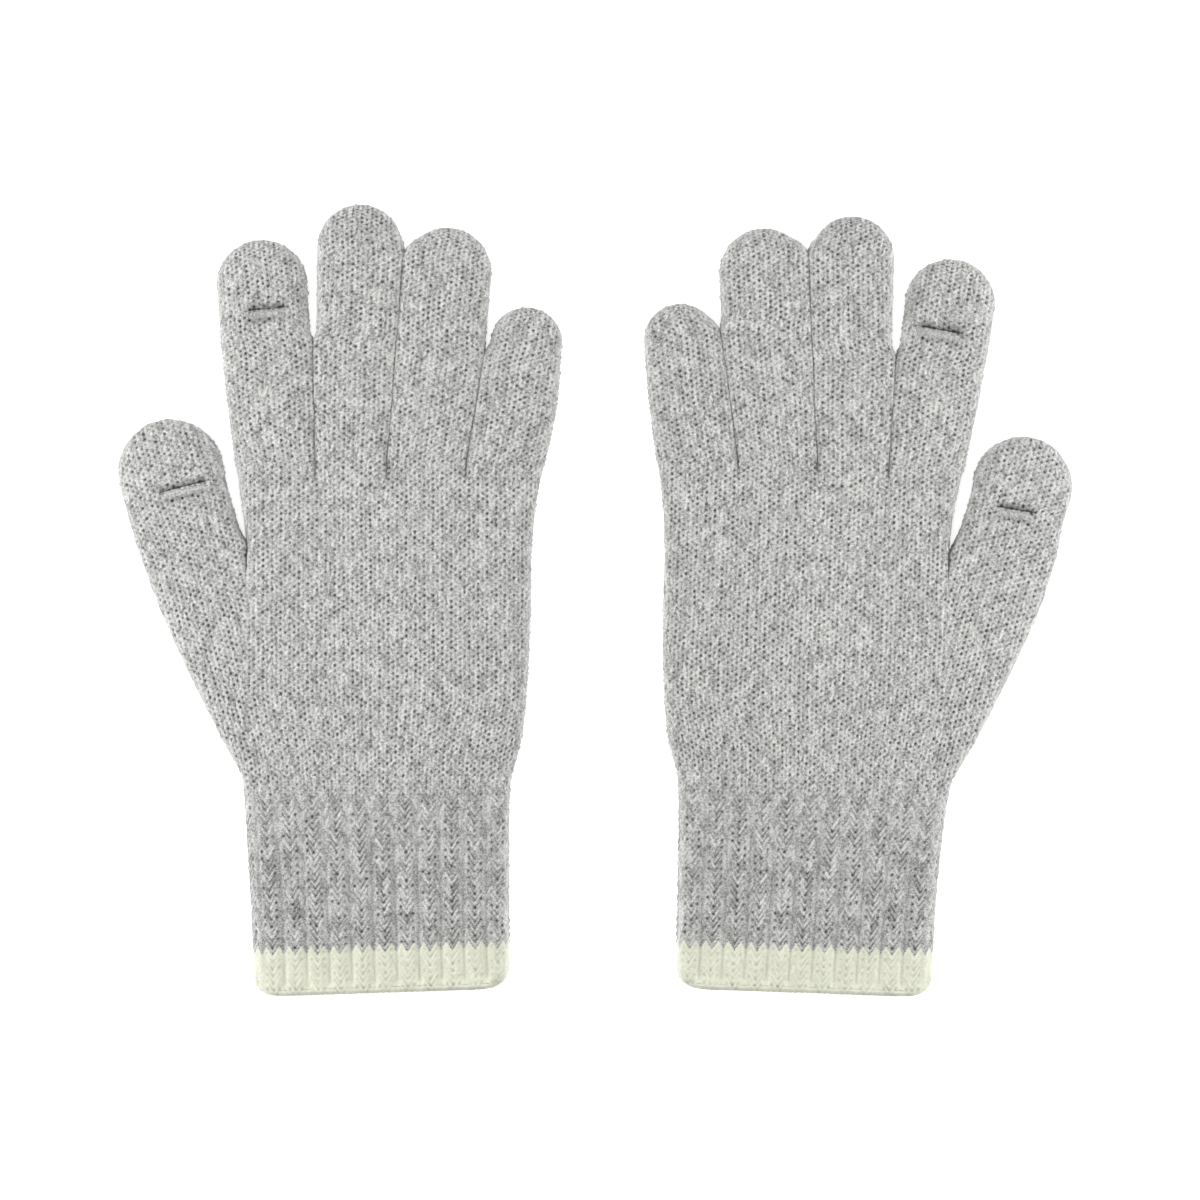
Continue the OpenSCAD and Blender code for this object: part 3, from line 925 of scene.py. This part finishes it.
# Grey meets cream along a row of stitches, not along a node's edge, so both yarns can show both colours.
YARNS = {
    "grey_yarn": yarn("grey_yarn", *GREY),
    "cream_yarn": yarn("cream_yarn", *GREY),
    "elastic_yarn": yarn("elastic_yarn", *ELASTIC, ELASTIC),
}


# ---------------------------------------------------------------- the two gloves
def world(point, side):
    return tuple(placed(np.array([point], float), side)[0])


def finish_piece(piece, side, node, slot_name="grey_yarn"):
    """Builds a piece, which takes the place of one CAD node."""
    obj = piece.build(side, YARNS[slot_name])
    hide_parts(node)
    return obj


def bend_line(digit, side):
    """Where the cloth starts and stops bending between the hand and a digit."""
    x, y = digit.middle
    return {"start": world((x, y, 4), side), "end": world((x, y + 12, 4), side)}


def fold_line(digit, side):
    """Where the cloth starts and stops bending between a digit and its hood."""
    x, y = digit.slit_centre
    dx, dy = digit.slit_up * 6
    return {"start": world((x, y, 0), side), "end": world((x + dx, y + dy, 6), side)}


def make_hand(side):
    for back in (False, True):
        piece = Piece(f"{side}_{'hand_back' if back else 'palm'}_knit")
        hand_sheet(piece, side, back)
        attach(finish_piece(piece, side, f"{side}_hand"), f"{side}_hand")


def make_digit(side, name, seed):
    finger = f"{side}_{name}" if name == "thumb" else f"{side}_{name}_finger"
    for piece, node, digit in digit_pieces(side, name, seed):
        obj = finish_piece(piece, side, node)
        if node.endswith("_slit_lip"):
            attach(obj, finger)
        elif node.endswith("_hood"):
            fold_line(digit, side)
            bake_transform(obj)
        else:
            bend_line(digit, side)
            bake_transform(obj)


def make_cuff(side):
    cream_below = math.floor(course_at(TIPPING_Y) + CUFF_LEAN / 2) + 1
    parts = [("cuff_rib", TIPPING_Y, 0.0, "grey_yarn"), ("cuff_tipping", EDGE_Y, TIPPING_Y, "cream_yarn"),
             ("cuff_edge", -CUFF_LEN, EDGE_Y, "cream_yarn")]
    for name, low, high, slot_name in parts:
        piece = Piece(f"{side}_{name}_knit")
        for back in (False, True):
            y = np.linspace(low, high, max(14, round((high - low) / STEP_Y)) + 1)
            cuff_sheet(piece, side, y, back, cream_below, 81 + back, rim=name == "cuff_edge")
        if name == "cuff_rib":
            cuff_lining(piece, side, -CUFF_LEN + 3, 0)
        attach(finish_piece(piece, side, f"{side}_{name}", slot_name), f"{side}_hand")
    piece = Piece(f"{side}_cuff_elastic_threads")
    elastic_loops(piece, side)
    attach(finish_piece(piece, side, f"{side}_cuff_elastic", "elastic_yarn"), f"{side}_hand")


for side in ("left", "right"):
    make_hand(side)
    for number, name in enumerate(DIGITS[side]):
        make_digit(side, name, 100 * number + 21)
    make_cuff(side)


# ---------------------------------------------------------------- studio
def make_floor():
    """White paper just under the gloves, which glows a little so that it stays white all over."""
    mesh = bpy.data.meshes.new("floor")
    corners = [(x, y, -0.0002) for x, y in ((-6, -6), (6, -6), (6, 6), (-6, 6))]
    mesh.from_pydata(corners, [], [(0, 1, 2, 3)])
    floor = bpy.data.objects.new("floor", mesh)
    bpy.context.scene.collection.objects.link(floor)
    material = bpy.data.materials.new("white_paper")
    material.use_nodes = True
    shader = material.node_tree.nodes["Principled BSDF"]
    settings = {"Base Color": (0.9, 0.9, 0.9, 1), "Roughness": 1.0, "Specular IOR Level": 0.0,
                "Emission Color": (1, 1, 1, 1), "Emission Strength": 0.55}
    for name, value in settings.items():
        shader.inputs[name].default_value = value
    mesh.materials.append(material)


def area_light(name, location, target, size, power):
    light = bpy.data.lights.new(name, "AREA")
    light.shape = "DISK"
    light.size = size
    light.energy = power
    obj = bpy.data.objects.new(name, light)
    obj.location = location
    obj.rotation_euler = (Vector(target) - Vector(location)).to_track_quat("-Z", "Y").to_euler()
    bpy.context.scene.collection.objects.link(obj)


make_floor()
area_light("left_light", (-0.75, 0.05, 0.42), (-0.06, 0, 0), 0.5, 8.4)
area_light("right_light", (0.75, 0.05, 0.42), (0.06, 0, 0), 0.5, 7.5)
area_light("top_light", (0, 0.35, 1.5), (0, 0, 0), 1.2, 8)

sky = bpy.data.worlds.new("sky")
sky.use_nodes = True
sky.node_tree.nodes["Background"].inputs["Color"].default_value = (1, 1, 1, 1)
sky.node_tree.nodes["Background"].inputs["Strength"].default_value = 0.26
bpy.context.scene.world = sky

camera_data = bpy.data.cameras.new("camera")
camera_data.lens = 100
camera_data.sensor_width = 36
camera = bpy.data.objects.new("camera", camera_data)
camera.location = (0.0013, -0.0001, 0.967)
bpy.context.scene.collection.objects.link(camera)
bpy.context.scene.camera = camera
bpy.context.scene.view_settings.view_transform = "Standard"
